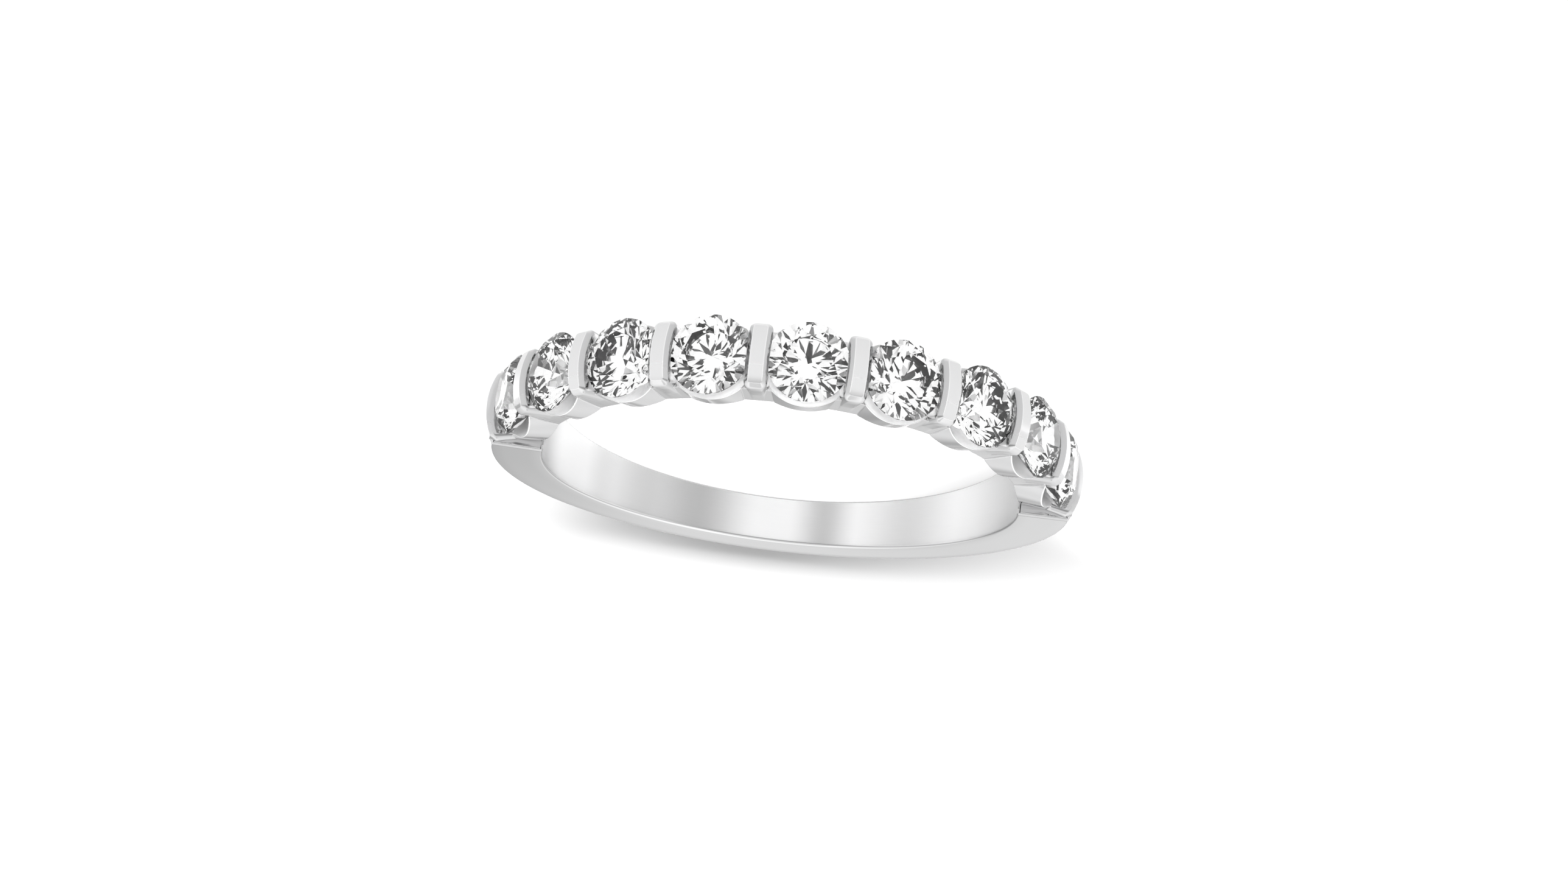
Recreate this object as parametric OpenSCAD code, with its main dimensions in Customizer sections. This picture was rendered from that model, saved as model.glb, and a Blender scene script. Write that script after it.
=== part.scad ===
// Diamond band: nine round brilliants held between upright bars, on a plain tapering shank.
// The ring lies on its side. Its axis is Z, the origin is the middle of the finger hole,
// and the middle stone faces -Y. Stone 1 is the one at the +X end of the row.

/* [Finger] */
// Diameter of the finger hole, US size 7
finger_d = 17.35; // [17.2:0.05:17.6]

/* [Stones] */
// Number of stones in the row
stone_count = 9; // [7:2:9]
// Girdle diameter of each stone
stone_d = 2.9; // [2.7:0.05:2.95]
// Angle between neighbouring stones, in degrees
pitch = 19.3; // [19.2:0.1:19.5]
// Height of the middle of the girdle above the finger hole
girdle_h = 1.525; // [1.475:0.025:1.575]
// Width of the table as a share of the girdle diameter
table_share = 0.57; // [0.53:0.01:0.62]
// Slope of the crown's main facets, in degrees
crown_angle = 34.5; // [32:0.5:36]
// Slope of the pavilion's main facets, in degrees
pavilion_angle = 41; // [40:0.2:42]
// Space between a stone and the notches that hold it
notch_gap = 0.025; // [0.02:0.005:0.04]

/* [Bars] */
// Width of a bar along the row
bar_w = 0.82; // [0.76:0.02:0.88]
// Height of the middle of a bar above the finger hole
bar_h = 2.04; // [2:0.01:2.1]
// Height of the middle of the two end bars above the finger hole
end_bar_h = 2.25; // [2.2:0.01:2.3]
// Half length of a bar at the finger hole
bar_foot = 1.02; // [0.98:0.01:1.04]
// Half length of a bar at its top
bar_reach = 1.19; // [1.16:0.01:1.24]
// Half length of the two end bars at their top
end_bar_reach = 1.3; // [1.26:0.01:1.34]
// Radius of a bar's domed top, seen along the row
bar_dome = 2.7; // [2.4:0.1:3.2]
// Rounding of a bar's long top edges
bar_round = 0.2; // [0.12:0.02:0.24]
// Rounding of a bar's four upright edges
bar_corner = 0.24; // [0.14:0.02:0.3]

/* [Seats] */
// Half width of the side wall below a stone, at the finger hole
wall_foot = 1.28; // [1.25:0.01:1.31]
// Half width of the side wall below a stone, at its rim
wall_rim = 1.47; // [1.44:0.01:1.5]
// Height of the rim above the finger hole
rim_h = 1.18; // [1.1:0.02:1.2]
// Radius of a side wall's curve at the finger hole
wall_curve = 2.07; // [2:0.01:2.2]
// Slope at which that curve tightens from the finger hole to the rim, in degrees
wall_narrow = 31.7; // [30:0.1:32]
// Half width of the ledges beside each bar
ledge_half = 1.07; // [1.06:0.005:1.09]
// Width of the ledge beside each bar
ledge_w = 0.12; // [0.08:0.02:0.16]
// Radius of the bowl under each stone
bowl_r = 1.745; // [1.725:0.005:1.765]
// Height of the middle of the bowl's sphere above the finger hole
bowl_h = 1.925; // [1.91:0.005:1.94]
// Diameter of the hole drilled under each stone
drill_d = 1.2; // [1:0.1:1.3]

/* [Shank] */
// Width of the shank beside the end bars
shoulder_w = 2.74; // [2.7:0.01:2.8]
// Width of the shank opposite the stones
back_w = 1.8; // [1.6:0.05:2.1]
// Thickness of the shank beside the end bars
shoulder_t = 2.21; // [2.16:0.01:2.25]
// Thickness of the shank opposite the stones
back_t = 1.67; // [1.55:0.01:1.8]
// Radius of the shank's crowned outer surface, seen across its width
crown_r = 2.8; // [2.6:0.1:3.4]
// Chamfer along both edges of the finger hole in the shank
bore_chamfer = 0.1; // [0.06:0.02:0.16]
// Half width of the block that carries the last wall on to the shank
block_half = 1.16; // [1.13:0.01:1.2]
// Length of that block along the row, from the middle of the end bar
block_l = 0.8; // [0.76:0.01:0.86]

/* [Hidden] */
$fn = 96;
bore_r = finger_d / 2;
stone_r = stone_d / 2;
girdle_r = bore_r + girdle_h;
rim_r = bore_r + rim_h;
row_half = (stone_count - 1) / 2 * pitch;
end_bar = row_half + pitch / 2;

// Solids that end at the finger hole start this far inside it, and the hole is then cut through all of them
under = 0.4;
// Long enough to reach through the ring from side to side
through = 6;
// Longer than the ring's radius
beyond = 20;
// Solids that are joined lap over each other by this much
lap = 0.1;
// A slot for a bar is this much narrower than the bar on each side, so that the bar fills it
bite = 0.005;

// Brilliant cut, with heights measured from the middle of the girdle
girdle_t = 0.09;
star_share = 0.77;
lower_share = 0.22;
notch_share = 0.6;
table_r = stone_r * table_share;
star_r = stone_r * star_share;
lower_r = stone_r * lower_share;
crown_h = girdle_t / 2 + (stone_r - table_r) * tan(crown_angle);
star_h = girdle_t / 2 + (stone_r - star_r * cos(22.5)) * tan(crown_angle);
culet_h = girdle_t / 2 + stone_r * tan(pavilion_angle);
lower_h = culet_h - lower_r * cos(22.5) * tan(pavilion_angle);

// Two small steps down from the rim of the seats, to the blocks at the ends and to the gallery
block_r = rim_r - 0.02;
gallery_r = rim_r - 0.04;

// The shank's outer surface is turned about an axis that lies a little towards the stones
shank_r = bore_r + shoulder_t;
shank_shift = shoulder_t - back_t;
shank_half = 1.6;
taper = atan((shoulder_w - back_w) / 2 / bore_r);

metal_colour = [0.86, 0.86, 0.87];
stone_colour = [0.80, 0.88, 0.95];

function stone_angle(i) = row_half - (i - 1) * pitch;
function bar_angle(j) = end_bar - j * pitch;
function at_turn(r, a, h) = [r * cos(a), r * sin(a), h];
// Place, in a stone's frame, of a line that runs beside a bar's middle plane at distance d
function beside_bar(r, d) = r * tan(pitch / 2) - d / cos(pitch / 2);

// Turns a seat's own frame into place: X runs along the row, Y along the ring's axis, Z outwards
module at(angle) {
    rotate([0, 0, angle])
        rotate([90, 0, 0])
            children();
}

// Outline in X and Z, drawn through the ring from side to side
module across(points, length) {
    rotate([90, 0, 0])
        linear_extrude(height = length, center = true)
            polygon(points);
}

// Strip along Y that ends at Y = 0 with two rounded corners
module strip(width, length, r) {
    translate([-width / 2, -length])
        square([width, length - r]);
    translate([r - width / 2, -length])
        square([width - 2 * r, length]);
    for (side = [-1, 1])
        translate([side * (width / 2 - r), -r])
            circle(r = r);
}

// Round brilliant: a table, 8 stars, 8 mains and 16 girdle facets above, 16 girdle facets and 8 mains below
module brilliant() {
    // Each girdle facet meets the round girdle lower, or higher, in its middle than at its ends
    bow = stone_r * (1 - cos(11.25)) / cos(11.25);
    upper_bow = bow * (star_h - girdle_t / 2) / (stone_r - star_r);
    lower_bow = bow * (lower_h - girdle_t / 2) / (stone_r - lower_r);
    points = concat(
        [for (k = [0 : 7]) at_turn(table_r, 45 * k, crown_h)],
        [for (k = [0 : 7]) at_turn(star_r, 45 * k + 22.5, star_h)],
        [for (k = [0 : 31]) at_turn(stone_r, 11.25 * k, girdle_t / 2 - k % 2 * upper_bow)],
        [for (k = [0 : 31]) at_turn(stone_r, 11.25 * k, -girdle_t / 2 + k % 2 * lower_bow)],
        [for (k = [0 : 7]) at_turn(lower_r, 45 * k + 22.5, -lower_h)],
        [[0, 0, -culet_h]]
    );
    star = 8;
    upper = 16;
    lower = 48;
    tip = 80;
    culet = 88;
    faces = concat(
        [[for (k = [7 : -1 : 0]) k]],
        [for (k = [0 : 7]) [k, (k + 1) % 8, star + k]],
        [for (k = [0 : 7]) [k, star + k, upper + 4 * k]],
        [for (k = [0 : 7]) [k, upper + 4 * k, star + (k + 7) % 8]],
        [for (k = [0 : 7], m = [0 : 3]) [star + k, upper + (4 * k + m + 1) % 32, upper + 4 * k + m]],
        [for (k = [0 : 31]) [upper + k, upper + (k + 1) % 32, lower + (k + 1) % 32, lower + k]],
        [for (k = [0 : 7], m = [0 : 3]) [tip + k, lower + 4 * k + m, lower + (4 * k + m + 1) % 32]],
        [for (k = [0 : 7]) [culet, lower + 4 * k, tip + k]],
        [for (k = [0 : 7]) [culet, tip + (k + 7) % 8, lower + 4 * k]]
    );
    polyhedron(points = points, faces = faces, convexity = 4);
}

module stone(i) {
    color(stone_colour)
        at(stone_angle(i))
            translate([0, 0, girdle_r])
                brilliant();
}

// Room for a stone's girdle and the slopes beside it, which leaves a notch in a bar
module notch() {
    r = stone_r + notch_gap;
    inner_r = stone_r * notch_share;
    half = girdle_t / 2 + notch_gap;
    up = (r - inner_r) * tan(crown_angle);
    down = (r - inner_r) * tan(pavilion_angle);
    translate([0, 0, girdle_r])
        rotate_extrude()
            polygon([[0, -half - down], [inner_r, -half - down], [r, -half], [r, half], [inner_r, half + up], [0, half + up]]);
}

// One of the two leaning outlines of a bar, seen from above, with its upright edges rounded
module bar_side(height, reach) {
    rise = height - bar_dome + sqrt(pow(bar_dome, 2) - pow(reach, 2));
    lean = atan((reach - bar_foot) / rise);
    translate([0, bar_foot, bore_r])
        rotate([-lean, 0, 0])
            linear_extrude(height = through, center = true)
                strip(bar_w, through, bar_corner);
}

// Upright bar with a domed top, whose ends lean out as they rise
module bar(height, reach) {
    intersection() {
        bar_side(height, reach);
        mirror([0, 1, 0])
            bar_side(height, reach);
        translate([0, 0, bore_r + height])
            rotate([90, 0, 0])
                linear_extrude(height = through, center = true)
                    strip(bar_w, height + under, bar_round);
        translate([0, 0, bore_r + height - bar_dome])
            rotate([0, 90, 0])
                cylinder(r = bar_dome, h = bar_w + 1, center = true);
    }
}

// Side wall of a seat: a leaning cone, so that its curve tightens from the finger hole to the rim
module side_wall() {
    lean = atan((wall_rim - wall_foot) / rim_h);
    half = through / 2;
    change = half * tan(wall_narrow);
    translate([0, wall_foot, bore_r])
        rotate([-lean - wall_narrow, 0, 0])
            translate([0, -wall_curve, 0])
                cylinder(r1 = wall_curve + change, r2 = wall_curve - change, h = through, center = true);
}

// Metal between two bars, with a curved wall on each side
module seat() {
    flank = bar_w / 2 + ledge_w;
    low = bore_r - under;
    intersection() {
        side_wall();
        mirror([0, 1, 0])
            side_wall();
        across([
            [-beside_bar(low, flank), low],
            [beside_bar(low, flank), low],
            [beside_bar(rim_r, flank), rim_r],
            [-beside_bar(rim_r, flank), rim_r]
        ], through);
    }
}

// Bowl under a stone and the hole drilled from it to the finger hole
module bowl() {
    translate([0, 0, bore_r + bowl_h])
        sphere(r = bowl_r);
    translate([0, 0, bore_r - under])
        cylinder(d = drill_d, h = under + rim_h);
}

// Straight gallery behind the seats, with a slot for the foot of each bar
module gallery() {
    slot_w = bar_w - 2 * bite;
    slot_l = 2 * (ledge_half - bar_foot + lap);
    difference() {
        rotate([0, 0, -90 - end_bar])
            rotate_extrude(angle = 2 * end_bar)
                translate([bore_r - under, -ledge_half])
                    square([gallery_r - bore_r + under, 2 * ledge_half]);
        for (j = [1 : stone_count - 1])
            at(bar_angle(j))
                for (side = [-1, 1])
                    translate([0, side * ledge_half, bore_r])
                        cube([slot_w, slot_l, through], center = true);
    }
}

// Block under an end bar, which carries the wall of the last seat on to the shank
module end_block() {
    low = bore_r - under;
    across([[-block_l, low], [lap, low], [lap, block_r], [-block_l, block_r]], 2 * block_half);
}

// One of the two slanting planes that narrow the shank towards the back of the ring
module slab() {
    translate([0, 0, shoulder_w / 2])
        rotate([-taper, 0, 0])
            translate([-beyond, -beyond, -beyond])
                cube([2 * beyond, 2 * beyond, beyond]);
}

// Chamfer of the finger hole along one of the slanting planes
module hole_chamfer() {
    translate([0, 0, shoulder_w / 2])
        rotate([-taper, 0, 0])
            translate([0, 0, -bore_chamfer - lap])
                cylinder(r1 = bore_r - lap, r2 = bore_r + 1, h = 1 + lap);
}

module shank() {
    fall = beyond * cos(end_bar) / sin(end_bar);
    difference() {
        intersection() {
            translate([0, -shank_shift, 0])
                rotate_extrude()
                    intersection() {
                        translate([shank_r - crown_r, 0])
                            circle(r = crown_r);
                        translate([bore_r - shank_shift - under, -shank_half])
                            square([through, 2 * shank_half]);
                    }
            slab();
            mirror([0, 0, 1])
                slab();
        }
        linear_extrude(height = through, center = true)
            polygon([
                [0, 0],
                [beyond, -fall],
                [beyond, -beyond],
                [-beyond, -beyond],
                [-beyond, -fall]
            ]);
        hole_chamfer();
        mirror([0, 0, 1])
            hole_chamfer();
    }
}

module band() {
    color(metal_colour)
        difference() {
            union() {
                shank();
                difference() {
                    union() {
                        gallery();
                        for (i = [1 : stone_count])
                            at(stone_angle(i))
                                seat();
                        at(bar_angle(0))
                            end_block();
                        at(bar_angle(stone_count))
                            mirror([1, 0, 0])
                                end_block();
                    }
                    for (i = [1 : stone_count])
                        at(stone_angle(i))
                            bowl();
                }
                difference() {
                    union() {
                        for (j = [1 : stone_count - 1])
                            at(bar_angle(j))
                                bar(bar_h, bar_reach);
                        for (j = [0, stone_count])
                            at(bar_angle(j))
                                bar(end_bar_h, end_bar_reach);
                    }
                    for (i = [1 : stone_count])
                        at(stone_angle(i))
                            notch();
                }
            }
            cylinder(r = bore_r, h = 2 * through, center = true);
        }
}

band();
for (i = [1 : stone_count])
    stone(i);
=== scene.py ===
"""Half-eternity band in polished white metal: nine round brilliants between ten upright bars."""
import math

import bmesh
import bpy
from mathutils import Matrix, Vector


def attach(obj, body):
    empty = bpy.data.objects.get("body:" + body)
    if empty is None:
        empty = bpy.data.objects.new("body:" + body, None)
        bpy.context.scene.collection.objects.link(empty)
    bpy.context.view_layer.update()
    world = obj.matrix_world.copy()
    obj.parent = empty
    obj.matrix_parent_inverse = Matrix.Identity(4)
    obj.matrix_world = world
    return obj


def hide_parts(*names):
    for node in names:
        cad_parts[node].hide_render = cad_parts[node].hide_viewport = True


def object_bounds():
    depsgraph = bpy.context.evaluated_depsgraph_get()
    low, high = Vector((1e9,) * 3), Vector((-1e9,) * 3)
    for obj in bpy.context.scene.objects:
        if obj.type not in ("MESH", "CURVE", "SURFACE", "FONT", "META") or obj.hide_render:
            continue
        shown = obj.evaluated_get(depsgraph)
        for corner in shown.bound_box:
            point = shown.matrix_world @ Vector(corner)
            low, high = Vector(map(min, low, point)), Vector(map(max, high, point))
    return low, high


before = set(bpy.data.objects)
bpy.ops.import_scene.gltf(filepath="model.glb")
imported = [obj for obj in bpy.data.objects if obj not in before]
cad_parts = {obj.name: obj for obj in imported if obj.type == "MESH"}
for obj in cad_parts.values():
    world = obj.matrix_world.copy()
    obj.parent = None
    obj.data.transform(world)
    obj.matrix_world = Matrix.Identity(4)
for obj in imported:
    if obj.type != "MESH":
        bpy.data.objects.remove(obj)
cad_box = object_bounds()

# The metal is modelled in millimetres and brought to metres at the end
MM = 0.001

# Sizes of the ring, as in the part's source
BORE_R = 17.35 / 2
STONES = 9
PITCH = 19.3
STONE_R = 2.9 / 2
GIRDLE_R = BORE_R + 1.525
GIRDLE_T = 0.09
CROWN_ANGLE = 34.5
PAVILION_ANGLE = 41
NOTCH_GAP = 0.025
NOTCH_SHARE = 0.6
BAR_W = 0.82
BAR_H = 2.04
END_BAR_H = 2.25
BAR_FOOT = 1.02
BAR_REACH = 1.19
END_BAR_REACH = 1.3
BAR_DOME = 2.7
BAR_CHAMFER = 0.16
BAR_SOFT = 0.05
BAR_CORNER = 0.24
WALL_FOOT = 1.28
WALL_RIM = 1.47
RIM_H = 1.18
WALL_CURVE = 2.07
WALL_NARROW = 31.7
LEDGE_HALF = 1.07
LEDGE_W = 0.12
BOWL_R = 1.745
BOWL_H = 1.925
DRILL_D = 1.2
SHOULDER_W = 2.74
BACK_W = 1.8
SHOULDER_T = 2.21
BACK_T = 1.67
CROWN_R = 2.8
BLOCK_HALF = 1.16
BLOCK_L = 0.8

# Heights on a bar, above the finger hole and below its top, between which the dome sets in
DOME_FROM = 1
DOME_FULL = 0.2

# Softening of the shank's edges: at the finger hole, how much more at the back, outside, and at the ends
INNER_SOFT = 0.06
INNER_SOFTER = 0.09
OUTER_SOFT = 0.07
OUTER_SHORT = 0.9
OUTER_KNEE = 0.75
END_SOFT = 0.1

# How far pieces reach into the finger hole before it is cut
UNDER = 0.4

# Half the row to the last stones and to the end bars, in degrees, and outer radii of what lies under the bars
ROW_HALF = (STONES - 1) / 2 * PITCH
END_BAR = ROW_HALF + PITCH / 2
RIM_R = BORE_R + RIM_H
TOP_STEP = 0.02
BLOCK_R = RIM_R - TOP_STEP
GALLERY_R = RIM_R - 2 * TOP_STEP


# Camera

# The photograph's width and focal length in pixels, the film's width in mm, and the camera's place
FRAME_W = 2576
FOCAL = 8000
SENSOR = 36
CAMERA_RISE = math.radians(17.8)
CAMERA_ROLL = math.radians(186.8)
RING_TURN = math.radians(2.7)
CAMERA_FAR = 20.39 * BORE_R
CAMERA_RIGHT = 0.0007 * BORE_R
CAMERA_UP = 0.0375 * BORE_R


def make_camera():
    level = Matrix.Rotation(RING_TURN, 3, "Z")
    right = level @ Vector((1, 0, 0))
    back = level @ Vector((0, -math.cos(CAMERA_RISE), math.sin(CAMERA_RISE)))
    up = back.cross(right)
    rolled_right = math.cos(CAMERA_ROLL) * right + math.sin(CAMERA_ROLL) * up
    rolled_up = -math.sin(CAMERA_ROLL) * right + math.cos(CAMERA_ROLL) * up
    place = CAMERA_RIGHT * rolled_right + CAMERA_UP * rolled_up + CAMERA_FAR * back
    data = bpy.data.cameras.new("photo_camera")
    data.sensor_fit = "HORIZONTAL"
    data.sensor_width = SENSOR
    data.lens = FOCAL / FRAME_W * SENSOR
    data.clip_start = 0.001
    data.clip_end = 10
    camera = bpy.data.objects.new("photo_camera", data)
    turn = Matrix((rolled_right, rolled_up, back)).transposed().to_4x4()
    camera.matrix_world = Matrix.Translation(place * MM) @ turn
    bpy.context.collection.objects.link(camera)
    bpy.context.scene.camera = camera


make_camera()


# Shapes

def at(angle):
    """Turns a seat's own frame into place: X runs along the row, Y along the ring's axis, Z outwards."""
    return Matrix.Rotation(math.radians(angle), 4, "Z") @ Matrix.Rotation(math.radians(90), 4, "X")


def solid(name, bm):
    """Makes a closed shape an object of its own, with its faces pointing outwards."""
    bmesh.ops.recalc_face_normals(bm, faces=bm.faces)
    mesh = bpy.data.meshes.new(name)
    bm.to_mesh(mesh)
    bm.free()
    piece = bpy.data.objects.new(name, mesh)
    bpy.context.collection.objects.link(piece)
    return piece


def settle(piece):
    """Applies a piece's modifiers."""
    bpy.context.view_layer.update()
    graph = bpy.context.evaluated_depsgraph_get()
    mesh = bpy.data.meshes.new_from_object(piece.evaluated_get(graph))
    piece.modifiers.clear()
    old = piece.data
    piece.data = mesh
    bpy.data.meshes.remove(old)


def combine(how, base, tools):
    """Joins tools to a base, cuts them from it or keeps what they share. The tools are used up."""
    for tool in tools:
        step = base.modifiers.new("step", "BOOLEAN")
        step.operation = how
        step.solver = "MANIFOLD"
        step.object = tool
        settle(base)
        bpy.data.meshes.remove(tool.data)
    return base


def copied(piece, matrix):
    """A copy of a piece, put in its place in the ring."""
    mesh = piece.data.copy()
    mesh.transform(matrix)
    if matrix.determinant() < 0:
        mesh.flip_normals()
    twin = bpy.data.objects.new(piece.name, mesh)
    bpy.context.collection.objects.link(twin)
    return twin


def turned(name, outline, steps=192):
    """Spins an open outline of radii and heights, whose ends lie on the axis, once round Z."""
    bm = bmesh.new()
    verts = [bm.verts.new((r, 0, h)) for r, h in outline]
    edges = [bm.edges.new(pair) for pair in zip(verts, verts[1:])]
    bmesh.ops.spin(bm, geom=verts + edges, cent=(0, 0, 0), axis=(0, 0, 1), angle=2 * math.pi, steps=steps,
                   use_merge=True)
    bmesh.ops.remove_doubles(bm, verts=bm.verts, dist=1e-5)
    return solid(name, bm)


def cone(name, low_r, high_r, height, matrix):
    """Cone or round bar about Z, brought to its place by a matrix."""
    bm = bmesh.new()
    bmesh.ops.create_cone(bm, cap_ends=True, segments=256, radius1=low_r, radius2=high_r, depth=height,
                          matrix=matrix)
    return solid(name, bm)


def block(name, low, high):
    """Box between two corners."""
    bm = bmesh.new()
    size = Vector(high) - Vector(low)
    middle = (Vector(high) + Vector(low)) / 2
    bmesh.ops.create_cube(bm, size=1, matrix=Matrix.Translation(middle) @ Matrix.Diagonal((*size, 1)))
    return solid(name, bm)


def wedge(name, flank, half, low, high):
    """Block between two bars, whose ends lie beside the bars' middle planes at distance flank."""
    bm = bmesh.new()
    bmesh.ops.create_cube(bm, size=2)
    for v in bm.verts:
        r = high if v.co.z > 0 else low
        side = r * math.tan(math.radians(PITCH / 2)) - flank / math.cos(math.radians(PITCH / 2))
        v.co = (v.co.x * side, v.co.y * half, r)
    return solid(name, bm)


def soften(bm, edges, offset, segments):
    """Bevels edges. One segment makes a chamfer, and more make a round."""
    bmesh.ops.bevel(bm, geom=edges, offset=offset, segments=segments, profile=0.5, affect="EDGES",
                    material=-1)


# Cutters for the stones' places

def notch_cutter():
    """Room for a stone's girdle and the slopes beside it."""
    r = STONE_R + NOTCH_GAP
    inner = STONE_R * NOTCH_SHARE
    half = GIRDLE_T / 2 + NOTCH_GAP
    up = (r - inner) * math.tan(math.radians(CROWN_ANGLE))
    down = (r - inner) * math.tan(math.radians(PAVILION_ANGLE))
    lower = [(0, -half - down), (inner, -half - down), (r, -half)]
    upper = [(r, half), (inner, half + up), (0, half + up)]
    return turned("notch", [(a, GIRDLE_R + b) for a, b in lower + upper])


def bowl_cutter():
    """Bowl under a stone and the hole drilled from it to the finger hole."""
    bm = bmesh.new()
    bmesh.ops.create_uvsphere(bm, u_segments=192, v_segments=96, radius=BOWL_R,
                              matrix=Matrix.Translation((0, 0, BORE_R + BOWL_H)))
    drill_low = BORE_R - UNDER
    drill_high = BORE_R + RIM_H
    drill = cone("drill", DRILL_D / 2, DRILL_D / 2, drill_high - drill_low,
                 Matrix.Translation((0, 0, (drill_low + drill_high) / 2)))
    return combine("UNION", solid("bowl", bm), [drill])


# Seats

def side_wall():
    """Leaning cone, so that a seat's wall curves tighter from the finger hole to the rim."""
    lean = math.degrees(math.atan((WALL_RIM - WALL_FOOT) / RIM_H))
    half = 3
    change = half * math.tan(math.radians(WALL_NARROW))
    place = (Matrix.Translation((0, WALL_FOOT, BORE_R))
             @ Matrix.Rotation(math.radians(-lean - WALL_NARROW), 4, "X")
             @ Matrix.Translation((0, -WALL_CURVE, 0)))
    return cone("side_wall", WALL_CURVE + change, WALL_CURVE - change, 2 * half, place)


def seat():
    """Metal between two bars, with a curved wall on each side."""
    wall = side_wall()
    other = copied(wall, Matrix.Diagonal((1, -1, 1, 1)))
    body = wedge("seat", BAR_W / 2 + LEDGE_W, 2, BORE_R - UNDER, RIM_R)
    return combine("INTERSECT", body, [wall, other])


def gallery():
    """Straight wall behind the seats, which shows as a ledge beside each bar."""
    bm = bmesh.new()
    low = BORE_R - UNDER
    section = [(low, -LEDGE_HALF), (GALLERY_R, -LEDGE_HALF), (GALLERY_R, LEDGE_HALF), (low, LEDGE_HALF)]
    verts = [bm.verts.new((0, -r, z)) for r, z in section]
    face = bm.faces.new(verts)
    start = Matrix.Rotation(math.radians(-END_BAR), 4, "Z")
    bmesh.ops.transform(bm, matrix=start, verts=bm.verts)
    bmesh.ops.spin(bm, geom=[face], cent=(0, 0, 0), axis=(0, 0, 1), angle=math.radians(2 * END_BAR),
                   steps=240)
    return solid("gallery", bm)


# Bars

def bar(name, height, reach):
    """Upright bar with a domed top, softened along every edge, whose ends lean out as they rise."""
    top = BORE_R + height
    low = BORE_R - UNDER
    rise = height - BAR_DOME + math.sqrt(BAR_DOME ** 2 - reach ** 2)
    lean = (reach - BAR_FOOT) / rise
    bm = bmesh.new()
    bmesh.ops.create_cube(bm, size=2)
    for v in bm.verts:
        half = reach + lean * (height - rise) if v.co.z > 0 else BAR_FOOT - lean * UNDER
        v.co = (v.co.x * BAR_W / 2, v.co.y * half, top if v.co.z > 0 else low)
    upright = [e for e in bm.edges if abs(e.verts[0].co.z - e.verts[1].co.z) > 1]
    soften(bm, upright, BAR_CORNER, 8)
    rim = [e for e in bm.edges if min(e.verts[0].co.z, e.verts[1].co.z) > top - 1e-4]
    soften(bm, rim, BAR_CHAMFER, 1)
    shoulder = top - BAR_CHAMFER
    outer = [e for e in bm.edges if max(abs(v.co.z - shoulder) for v in e.verts) < 0.01]
    soften(bm, outer, BAR_SOFT, 4)
    steps = 40
    for k in range(1, steps):
        y = (2 * k / steps - 1) * reach
        whole = bm.verts[:] + bm.edges[:] + bm.faces[:]
        bmesh.ops.bisect_plane(bm, geom=whole, plane_co=(0, y, 0), plane_no=(0, 1, 0))
    for v in bm.verts:
        share = min(1, max(0, (v.co.z - BORE_R - DOME_FROM) / (height - DOME_FULL - DOME_FROM)))
        v.co.z -= share * (BAR_DOME - math.sqrt(BAR_DOME ** 2 - v.co.y ** 2))
    return solid(name, bm)


# Shank

# Steps of the shank's half outline at which its stretches end, counted from the middle of the finger hole
HOLE_END = 4
HOLE_EDGE_END = 12
SIDE_END = 16
OUTER_EDGE_END = 24


def section_point(step, steps, y, outer):
    """Radius and height of a point on the shank's outline, from the finger hole to the crown and back."""
    half = SHOULDER_W / 2 - (SHOULDER_W - BACK_W) / 2 / BORE_R * y
    back_share = min(1, max(0, y / BORE_R))
    inner_soft = INNER_SOFT + INNER_SOFTER * back_share
    crown_mid = outer - CROWN_R
    lean = math.asin((half - OUTER_SOFT) / CROWN_R)
    edge = crown_mid + CROWN_R * math.cos(lean)
    side_start = BORE_R + inner_soft
    side_end = edge - OUTER_SHORT * OUTER_SOFT
    upper = step if step <= steps / 2 else steps - step
    sign = 1 if step <= steps / 2 else -1
    if upper <= HOLE_END:
        point = (BORE_R, (half - inner_soft) * upper / HOLE_END)
    elif upper <= HOLE_EDGE_END:
        a = (upper - HOLE_END) / (HOLE_EDGE_END - HOLE_END) * math.pi / 2
        point = (BORE_R + inner_soft * (1 - math.cos(a)), half - inner_soft * (1 - math.sin(a)))
    elif upper <= SIDE_END:
        share = (upper - HOLE_EDGE_END) / (SIDE_END - HOLE_EDGE_END)
        point = (side_start + (side_end - side_start) * share, half)
    elif upper <= OUTER_EDGE_END:
        a = (upper - SIDE_END) / (OUTER_EDGE_END - SIDE_END)
        start = Vector((side_end, half))
        knee = Vector((side_end + OUTER_KNEE * (edge - side_end), half))
        end = Vector((edge, half - OUTER_SOFT))
        point = start * (1 - a) ** 2 + knee * 2 * a * (1 - a) + end * a ** 2
    else:
        z = (half - OUTER_SOFT) * (steps / 2 - upper) / (steps / 2 - OUTER_EDGE_END)
        point = (crown_mid + math.sqrt(CROWN_R ** 2 - z ** 2), z)
    return point[0], sign * point[1]


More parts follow.
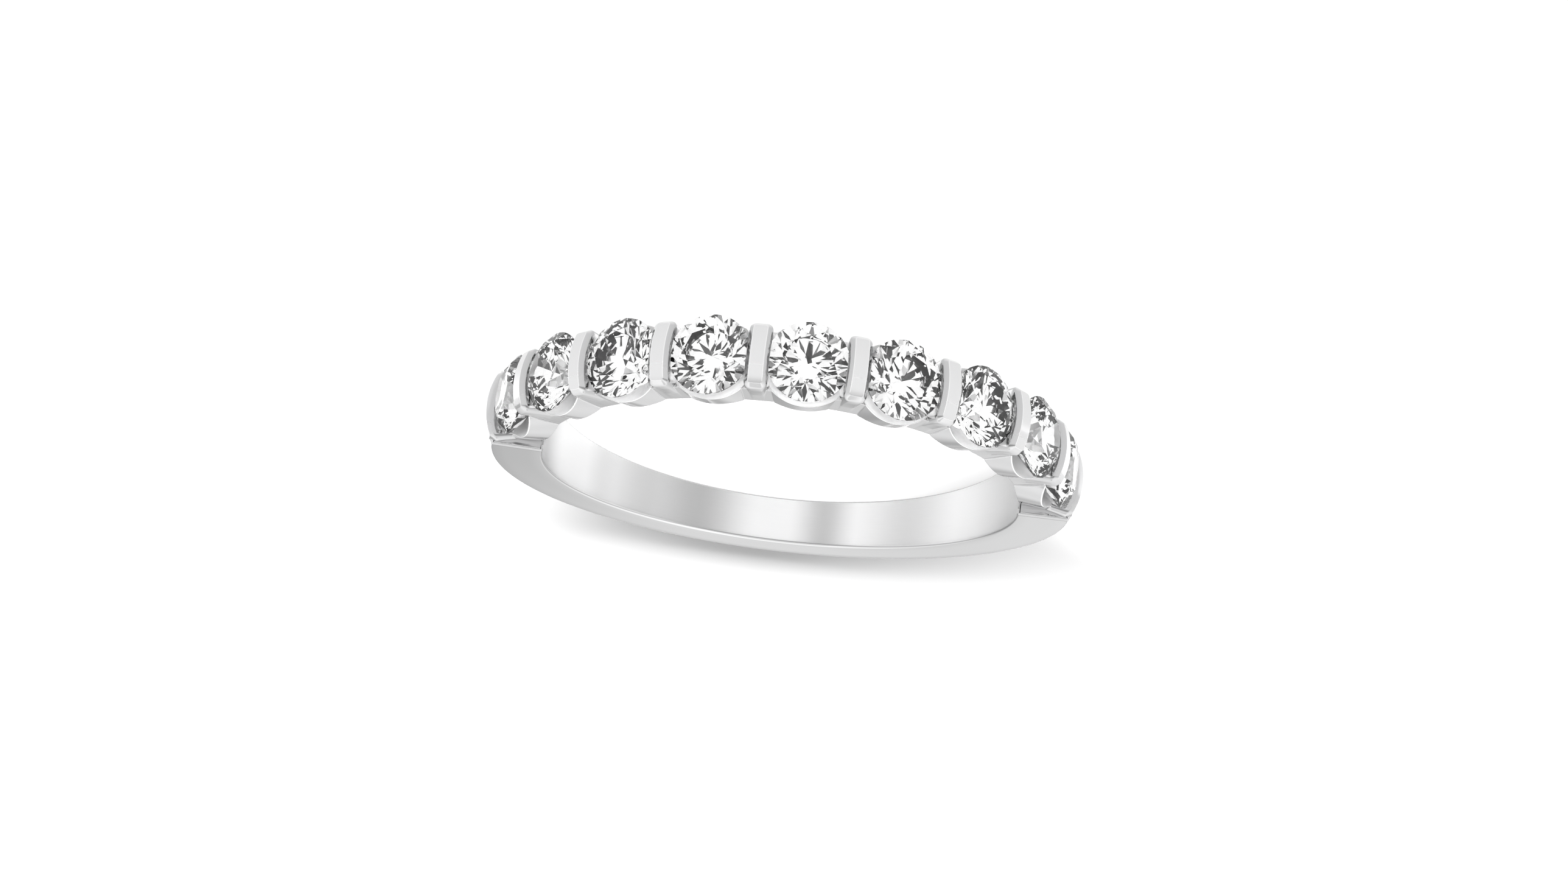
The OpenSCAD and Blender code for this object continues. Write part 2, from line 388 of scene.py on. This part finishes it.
def shank():
    """Plain hoop from one end bar round the back to the other, narrower and thinner at the back.

    A round bar is bent first, and each of its points then moves to its place on the shank's outline.
    """
    steps = 80
    turns = 240
    bend_r = 10
    shift = SHOULDER_T - BACK_T
    outer_r = BORE_R + SHOULDER_T
    bm = bmesh.new()
    bmesh.ops.create_circle(bm, cap_ends=True, segments=steps, radius=1)
    place = Matrix.Translation((0, -bend_r, 0)) @ Matrix.Rotation(math.radians(90), 4, "Y")
    bmesh.ops.transform(bm, matrix=place, verts=bm.verts)
    bmesh.ops.transform(bm, matrix=Matrix.Rotation(math.radians(END_BAR), 4, "Z"), verts=bm.verts)
    bmesh.ops.spin(bm, geom=bm.faces[:], cent=(0, 0, 0), axis=(0, 0, 1),
                   angle=math.radians(360 - 2 * END_BAR), steps=turns)
    for v in bm.verts:
        a = math.atan2(v.co.x, -v.co.y)
        r = math.hypot(v.co.x, v.co.y)
        step = round(math.atan2(v.co.z, bend_r - r) / (2 * math.pi) * steps) % steps
        out = Vector((math.sin(a), -math.cos(a)))
        outer = shift * math.cos(a) + math.sqrt(outer_r ** 2 - (shift * math.sin(a)) ** 2)
        r = BORE_R
        for _ in range(6):
            r, z = section_point(step, steps, r * out.y, outer)
        v.co = (r * out.x, r * out.y, z)
    ends = [f for f in bm.faces if len(f.verts) == steps]
    rims = {e for f in ends for e in f.edges}
    soften(bm, list(rims), END_SOFT, 6)
    return solid("metal_shank", bm)


# Metal

def finish_metal(piece, soft_below):
    """Brings a piece to metres, with smooth shading across edges shallower than soft_below degrees."""
    piece.data.name = piece.name
    piece.data.transform(Matrix.Scale(MM, 4))
    piece.data.materials.clear()
    piece.data.materials.append(metal)
    for face in piece.data.polygons:
        face.material_index = 0
        face.use_smooth = True
    piece.data.set_sharp_from_angle(angle=math.radians(soft_below))
    even = piece.modifiers.new("even", "WEIGHTED_NORMAL")
    even.keep_sharp = True
    settle(piece)
    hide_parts("band")
    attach(piece, "root")


def make_head():
    """Gallery, seats and bars, with the stones' places cut into them."""
    bowl = bowl_cutter()
    notch = notch_cutter()
    one_seat = seat()
    right_block = block("end_block", (-BLOCK_L, -BLOCK_HALF, BORE_R - UNDER), (0.1, BLOCK_HALF, BLOCK_R))
    stone_places = [at(ROW_HALF - k * PITCH) for k in range(STONES)]
    mirror_x = Matrix.Diagonal((-1, 1, 1, 1))

    setting = gallery()
    parts = [copied(one_seat, place) for place in stone_places]
    parts.append(copied(right_block, at(END_BAR)))
    parts.append(copied(right_block, at(-END_BAR) @ mirror_x))
    combine("UNION", setting, parts)
    combine("DIFFERENCE", setting, [copied(bowl, place) for place in stone_places])

    middle = bar("bar", BAR_H, BAR_REACH)
    end = bar("end_bar", END_BAR_H, END_BAR_REACH)
    toward = at(0).inverted() @ at(PITCH / 2)
    away = at(0).inverted() @ at(-PITCH / 2)
    combine("DIFFERENCE", middle, [copied(notch, toward), copied(notch, away)])
    combine("DIFFERENCE", end, [copied(notch, away)])
    bars = [copied(middle, at(END_BAR - j * PITCH)) for j in range(1, STONES)]
    bars.append(copied(end, at(END_BAR)))
    bars.append(copied(end, at(-END_BAR) @ mirror_x))
    combine("UNION", setting, bars)
    hole = cone("hole", BORE_R, BORE_R, 12, Matrix.Identity(4))
    combine("DIFFERENCE", setting, [hole])
    for spare in (bowl, notch, one_seat, right_block, middle, end):
        bpy.data.meshes.remove(spare.data)
    setting.name = "metal_head"
    return setting


# Shader maths

class Value:
    """A socket with arithmetic: an expression on values adds its Math nodes."""

    def __init__(self, shader, socket):
        self.shader = shader
        self.socket = socket

    def _math(self, operation, first, second=None):
        ports = {0: first}
        if second is not None:
            ports[1] = second
        return self.shader.node("ShaderNodeMath", {"operation": operation}, ports)[0]

    def __add__(self, other):
        return self._math("ADD", self, other)

    def __sub__(self, other):
        return self._math("SUBTRACT", self, other)

    def __rsub__(self, other):
        return self._math("SUBTRACT", other, self)

    def __mul__(self, other):
        return self._math("MULTIPLY", self, other)

    def __truediv__(self, other):
        return self._math("DIVIDE", self, other)

    def __pow__(self, other):
        return self._math("POWER", self, other)

    __radd__ = __add__
    __rmul__ = __mul__

    def angle_with(self, other):
        return self._math("ARCTAN2", self, other)

    def root(self):
        return self._math("SQRT", self)

    def sine(self):
        return self._math("SINE", self)

    def cosine(self):
        return self._math("COSINE", self)

    def remainder(self, size):
        return self._math("MODULO", self, size)

    def step_between(self, low, high):
        """Goes smoothly from 0 at low to 1 at high."""
        settings = {"interpolation_type": "SMOOTHSTEP"}
        ports = {"Value": self, "From Min": low, "From Max": high}
        return self.shader.node("ShaderNodeMapRange", settings, ports)[0]

    def hill(self, middle, half):
        """1 at middle, falling smoothly to 0 at half away from it."""
        return 1 - self._math("ABSOLUTE", self - middle).step_between(0, half)


class Shader:
    """Node tree of a material or of the surroundings."""

    def __init__(self, owner):
        owner.use_nodes = True
        self.tree = owner.node_tree
        self.tree.nodes.clear()

    def node(self, kind, settings=None, ports=None):
        """Adds a node, with its settings first and then its sockets, and gives its outputs as values."""
        made = self.tree.nodes.new(kind)
        for name, value in (settings or {}).items():
            setattr(made, name, value)
        for name, value in (ports or {}).items():
            if isinstance(value, Value):
                self.tree.links.new(value.socket, made.inputs[name])
            else:
                made.inputs[name].default_value = value
        return [Value(self, socket) for socket in made.outputs]

    def place(self):
        """Place on the object, in millimetres, as three values."""
        where = self.node("ShaderNodeTexCoord")[3]
        scaled = self.node("ShaderNodeVectorMath", {"operation": "SCALE"}, {0: where, "Scale": 1 / MM})[0]
        return self.node("ShaderNodeSeparateXYZ", ports={0: scaled})

    def vector(self, x, y, z):
        return self.node("ShaderNodeCombineXYZ", ports={0: x, 1: y, 2: z})[0]

    def alignment(self, first, second):
        """Dot product of two vectors."""
        return self.node("ShaderNodeVectorMath", {"operation": "DOT_PRODUCT"}, {0: first, 1: second})[1]

    def noise(self, where, scale, detail):
        return self.node("ShaderNodeTexNoise", ports={"Vector": where, "Scale": scale, "Detail": detail})[0]

    def finish(self, material, ports):
        """Ends a material with its surface, and gives the material back."""
        shade = self.node("ShaderNodeBsdfPrincipled", ports=ports)[0]
        self.node("ShaderNodeOutputMaterial", ports={"Surface": shade})
        return material


def metal_tone(tone):
    """Colour of white gold, a trace cooler than grey."""
    return (tone, tone, tone + 0.003, 1)


def tint(shader, share, first, second):
    """Colour between two colours."""
    return shader.node("ShaderNodeMix", {"data_type": "RGBA"}, {0: share, 6: first, 7: second})[2]


# Finishes

# How light the metal is on each kind of surface: painted light and shade, one white gold given lighter and
# darker tones for how light falls on each
SHANK_ENDS = metal_tone(0.6)
SHANK_BACK = metal_tone(0.79)
SHANK_EDGES = metal_tone(0.95)
SEAT_WALLS = metal_tone(0.58)
SEAT_EDGES = metal_tone(0.72)
SEAT_BOWLS = metal_tone(0.85)
BAR_TOPS = metal_tone(0.67)
BAR_FLANKS = metal_tone(0.48)
HOLE_SATIN = metal_tone(0.84)
HOLE_EDGE = metal_tone(0.2)
BLACK = (0, 0, 0, 1)

# Soft dark bands painted into the satin as painted reflections: place round the hole and half width in
# radians, and depth
PAINTED_REFLECTION_BANDS = (
    (-0.66, 0.28, 0.23),
    (-0.26, 0.16, 0.37),
    (0.27, 0.25, 0.4),
    (0.54, 0.34, 0.3),
    (0.83, 0.12, 0.12),
)

# Radius of the soft edges that the metal's shading shows
SOFT_EDGE = 0.045


def in_row(x, y):
    """1 along the row of stones, 0 round the shank."""
    turn = x.angle_with(0 - y)
    limit = math.radians(END_BAR)
    return 1 - (turn * turn).step_between((limit - 0.03) ** 2, limit ** 2)


def in_seat(x, y, z, radius):
    """1 on the metal close below a stone's girdle, 0 elsewhere."""
    step = math.radians(PITCH)
    turn = x.angle_with(0 - y)
    from_stone = (turn + (STONES + 0.5) * step).remainder(step) - step / 2
    depth = radius * from_stone.cosine() - BORE_R - BOWL_H
    away = ((radius * from_stone.sine()) ** 2 + z * z + depth * depth).root()
    close = 1 - away.step_between(BOWL_R + 0.01, BOWL_R + 0.03)
    below = 1 - radius.step_between(GIRDLE_R, GIRDLE_R + 0.1)
    return close * below * in_row(x, y)


def painted_reflection_bands(turn):
    """Painted reflections: how much darker the satin is painted round the finger hole, in soft bands and
    towards its ends. The angle runs from the back.
    """
    left_end = 0.35 * turn.step_between(1.15, 1.4) * (1 - turn.step_between(1.6, 2.0))
    away = 0 - turn
    right_end = 0.33 * away.step_between(0.9, 1.45) * (1 - away.step_between(1.6, 2.0))
    bands = left_end + right_end
    for middle, half, depth in PAINTED_REFLECTION_BANDS:
        bands = bands + depth * turn.hill(middle, half)
    return bands


def white_metal():
    """White gold: polished outside, satin in the finger hole, with soft edges, polishing marks, and painted
    light and shade.
    """
    material = bpy.data.materials.new("polished_white_metal")
    s = Shader(material)
    x, y, z = s.place()
    radius = (x * x + y * y).root()
    turn = x.angle_with(y)
    row = in_row(x, y)
    seat_bowl = in_seat(x, y, z, radius)
    satin = 1 - radius.step_between(BORE_R + 0.004, BORE_R + 0.02)

    # Brushed grain round the hole, and polishing marks elsewhere
    grain = s.noise(s.vector(turn * 1.2, z * 9, radius), 6.0, 6.0)
    cloud = s.noise(s.vector(turn * 2.4, z * 0.15, 0.0), 1.7, 2.0)
    wear = s.noise(s.vector(x, y, z), 0.55, 4.0)

    # Painted highlight on edges, found by comparing the surface with a rounded copy of itself
    rounded = s.node("ShaderNodeBevel", {"samples": 6}, {"Radius": SOFT_EDGE * MM})[0]
    own = s.node("ShaderNodeNewGeometry")[1]
    painted_edge_highlight = (1 - s.alignment(rounded, own)).step_between(0.004, 0.06)

    # Kinds of surface, from the one that covers most to the one that covers least, each with its own painted
    # lightness
    along = s.alignment(own, s.vector(0 - y, x, 0.0)) / radius
    # Painted shade: the bars' flanks, which face along the row, are darker
    flank = (along * along).step_between(0.1, 0.6) * row
    bar_top = radius.step_between(GIRDLE_R + 0.05, GIRDLE_R + 0.2) * row
    painted_hole_line = radius.hill(BORE_R + 0.03, 0.03) * (1 - row)
    # Painted shade: the shank is darker towards its ends and lighter round its back
    colour = tint(s, turn.hill(0.3, 1.2), SHANK_ENDS, SHANK_BACK)
    colour = tint(s, row, colour, SEAT_WALLS)
    colour = tint(s, bar_top, colour, BAR_TOPS)
    colour = tint(s, flank, colour, BAR_FLANKS)
    colour = tint(s, painted_edge_highlight, colour, tint(s, row - bar_top, SHANK_EDGES, SEAT_EDGES))
    # Painted light: the metal in the stones' seats is made lighter
    colour = tint(s, seat_bowl, colour, SEAT_BOWLS)
    # Painted reflections in the finger hole as dark bands, with the brushed grain's own faint tone
    colour = tint(s, satin, colour, tint(s, painted_reflection_bands(turn) + 0.05 * grain, HOLE_SATIN, BLACK))
    # Painted reflection: a dark line along the finger hole's rounded edge
    colour = tint(s, 0.55 * painted_hole_line, colour, HOLE_EDGE)

    rough = 0.075 + 0.035 * wear + satin * (0.2 + 0.1 * cloud) + 0.2 * seat_bowl
    height = satin * grain + (1 - satin) * wear * 0.2
    relief = {"Strength": 0.12, "Distance": 0.004 * MM, "Height": height, "Normal": rounded}
    bump = s.node("ShaderNodeBump", ports=relief)[0]
    # Painted glow in the seats, standing for light that the stones send down to them, more of it near the
    # seats' rims
    painted_seat_glow = tint(s, seat_bowl * (0.04 + 0.2 * z * z), BLACK, (0.8, 0.8, 0.8, 1))
    return s.finish(material, {"Base Color": colour, "Metallic": 1.0, "Roughness": rough, "Normal": bump,
                               "Emission Color": painted_seat_glow, "Emission Strength": 1.0})


def diamond():
    """Colourless stone, faceted and polished, with a faint haze of polish lines."""
    material = bpy.data.materials.new("cut_diamond")
    s = Shader(material)
    x, y, z = s.place()
    haze = s.noise(s.vector(x, y, z), 3.0, 2.0)
    return s.finish(material, {"Base Color": (0.93, 0.93, 0.93, 1), "Roughness": 0.004 * haze, "IOR": 2.417,
                               "Transmission Weight": 1.0, "Specular Tint": (0.35, 0.35, 0.35, 1)})


# Share of light that the floor sends back. Its lamps are brighter to match, so that it shows white.
PAPER = 0.15


def paper():
    """Plain white floor."""
    material = bpy.data.materials.new("white_paper")
    s = Shader(material)
    shade = s.node("ShaderNodeBsdfDiffuse", ports={"Color": (PAPER, PAPER, PAPER, 1)})[0]
    s.node("ShaderNodeOutputMaterial", ports={"Surface": shade})
    return material


def surroundings():
    """White studio as the metal sees it, and another, with small dark cards, for light inside the stones."""
    world = bpy.data.worlds.new("studio")
    bpy.context.scene.world = world
    s = Shader(world)
    towards = s.node("ShaderNodeTexCoord")[0]
    x, y, z = s.node("ShaderNodeSeparateXYZ", ports={0: towards})

    # The metal's studio is greyer low down behind the ring, more so on the left, and in front half way up
    horizon = z.hill(0.05, 0.14) * y.step_between(0.2, 0.8)
    low_back = y.step_between(0.2, 0.8) * (1 - z.step_between(0.25, 0.6))
    to_the_left = x.step_between(-0.15, 0.1)
    behind = (0.16 + 0.5 * to_the_left) * low_back * (1 - horizon) + 0.64 * horizon
    front_card = z.hill(0.6, 0.34) * (0 - y).step_between(0.3, 0.7)
    overhead = z.step_between(0.75, 0.95)
    straight_up = z.step_between(0.955, 0.98)
    for_metal = 1.22 + 0.15 * overhead - 0.4 * straight_up - behind - 0.75 * front_card

    # The stones' studio has dark cards all round, and one at the camera's side
    cards = s.noise(towards, 12.0, 0.0).step_between(0.533, 0.555)
    camera_side = (z * math.sin(CAMERA_RISE) - y * math.cos(CAMERA_RISE)).step_between(0.955, 0.965)
    for_stones = 1.12 * (1 - 0.945 * cards) * (1 - 0.94 * camera_side)

    in_stone = s.node("ShaderNodeLightPath")[6]
    tone = for_metal + in_stone * (for_stones - for_metal)
    glow = s.node("ShaderNodeBackground", ports={"Color": (1, 1, 1, 1), "Strength": tone})[0]
    s.node("ShaderNodeOutputWorld", ports={"Surface": glow})


# Ring

metal = white_metal()
head = make_head()
hoop = shank()
finish_metal(head, 28)
finish_metal(hoop, 40)

clear = diamond()
for k in range(STONES):
    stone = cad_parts[f"stone_{k + 1}"]
    for slot in stone.material_slots:
        slot.material = clear


# Studio

# Half the floor's width, in metres
FLOOR_HALF = 0.8


def group(name, pieces):
    """Collection of pieces that a lamp lights or lets cast shadows."""
    made = bpy.data.collections.new(name)
    for piece in pieces:
        made.objects.link(piece)
    return made


def lamp(name, kind, settings, place, back, lit, shading):
    """Lamp for the pieces in lit, shaded by those in shading. It shines the opposite way to back."""
    data = bpy.data.lights.new(name, kind)
    for word, value in settings.items():
        setattr(data, word, value)
    light = bpy.data.objects.new(name, data)
    turn = Vector(back).to_track_quat("Z", "Y").to_matrix().to_4x4()
    light.matrix_world = Matrix.Translation(place) @ turn
    light.light_linking.receiver_collection = group(name + "_lights", lit)
    light.light_linking.blocker_collection = group(name + "_shadows", shading)
    bpy.context.collection.objects.link(light)


def make_floor():
    """Floor that the ring lies on."""
    bm = bmesh.new()
    bmesh.ops.create_grid(bm, x_segments=8, y_segments=8, size=FLOOR_HALF)
    bmesh.ops.translate(bm, vec=(0, 0, cad_box[0].z), verts=bm.verts)
    floor = solid("floor", bm)
    floor.data.materials.append(paper())
    return floor


def light_floor(floor, shading):
    """Four lamps for the floor: an even one, a low one in front that casts the shadow, and two from above.

    The last two wash out the shadow's ends. A lamp's share is the part of white that it gives the floor.
    """
    white = math.pi / PAPER
    even_share = 0.26
    low_share = 0.88
    side_share = 0.35
    up = (0, 0, 1)
    high = 0.3
    even = {"energy": even_share * white, "angle": 0.1}
    lamp("floor_light", "SUN", even, (0, 0, high), up, [floor], [floor])

    low = math.radians(12.5)
    low_far = 6.0
    low_way = Vector((0, -math.cos(low), math.sin(low)))
    low_energy = low_share * white * math.pi * low_far ** 2 / math.sin(low)
    strip = {"energy": low_energy, "shape": "RECTANGLE", "size": 6.0, "size_y": 0.45}
    lamp("low_light", "AREA", strip, low_far * low_way, low_way, [floor], [shading])

    side_energy = side_share * white * 8 * math.pi * high ** 2
    for name, spread, x, y in (("left_light", 5.4, 0.017, 0.01), ("right_light", 4.6, -0.019, 0.004)):
        pool = {"energy": side_energy, "spot_size": math.radians(spread), "spot_blend": 1.0}
        lamp(name, "SPOT", pool, (x, y, high), up, [floor], [floor])


surroundings()
light_floor(make_floor(), hoop)

view = bpy.context.scene.view_settings
view.view_transform = "Standard"
view.look = "None"
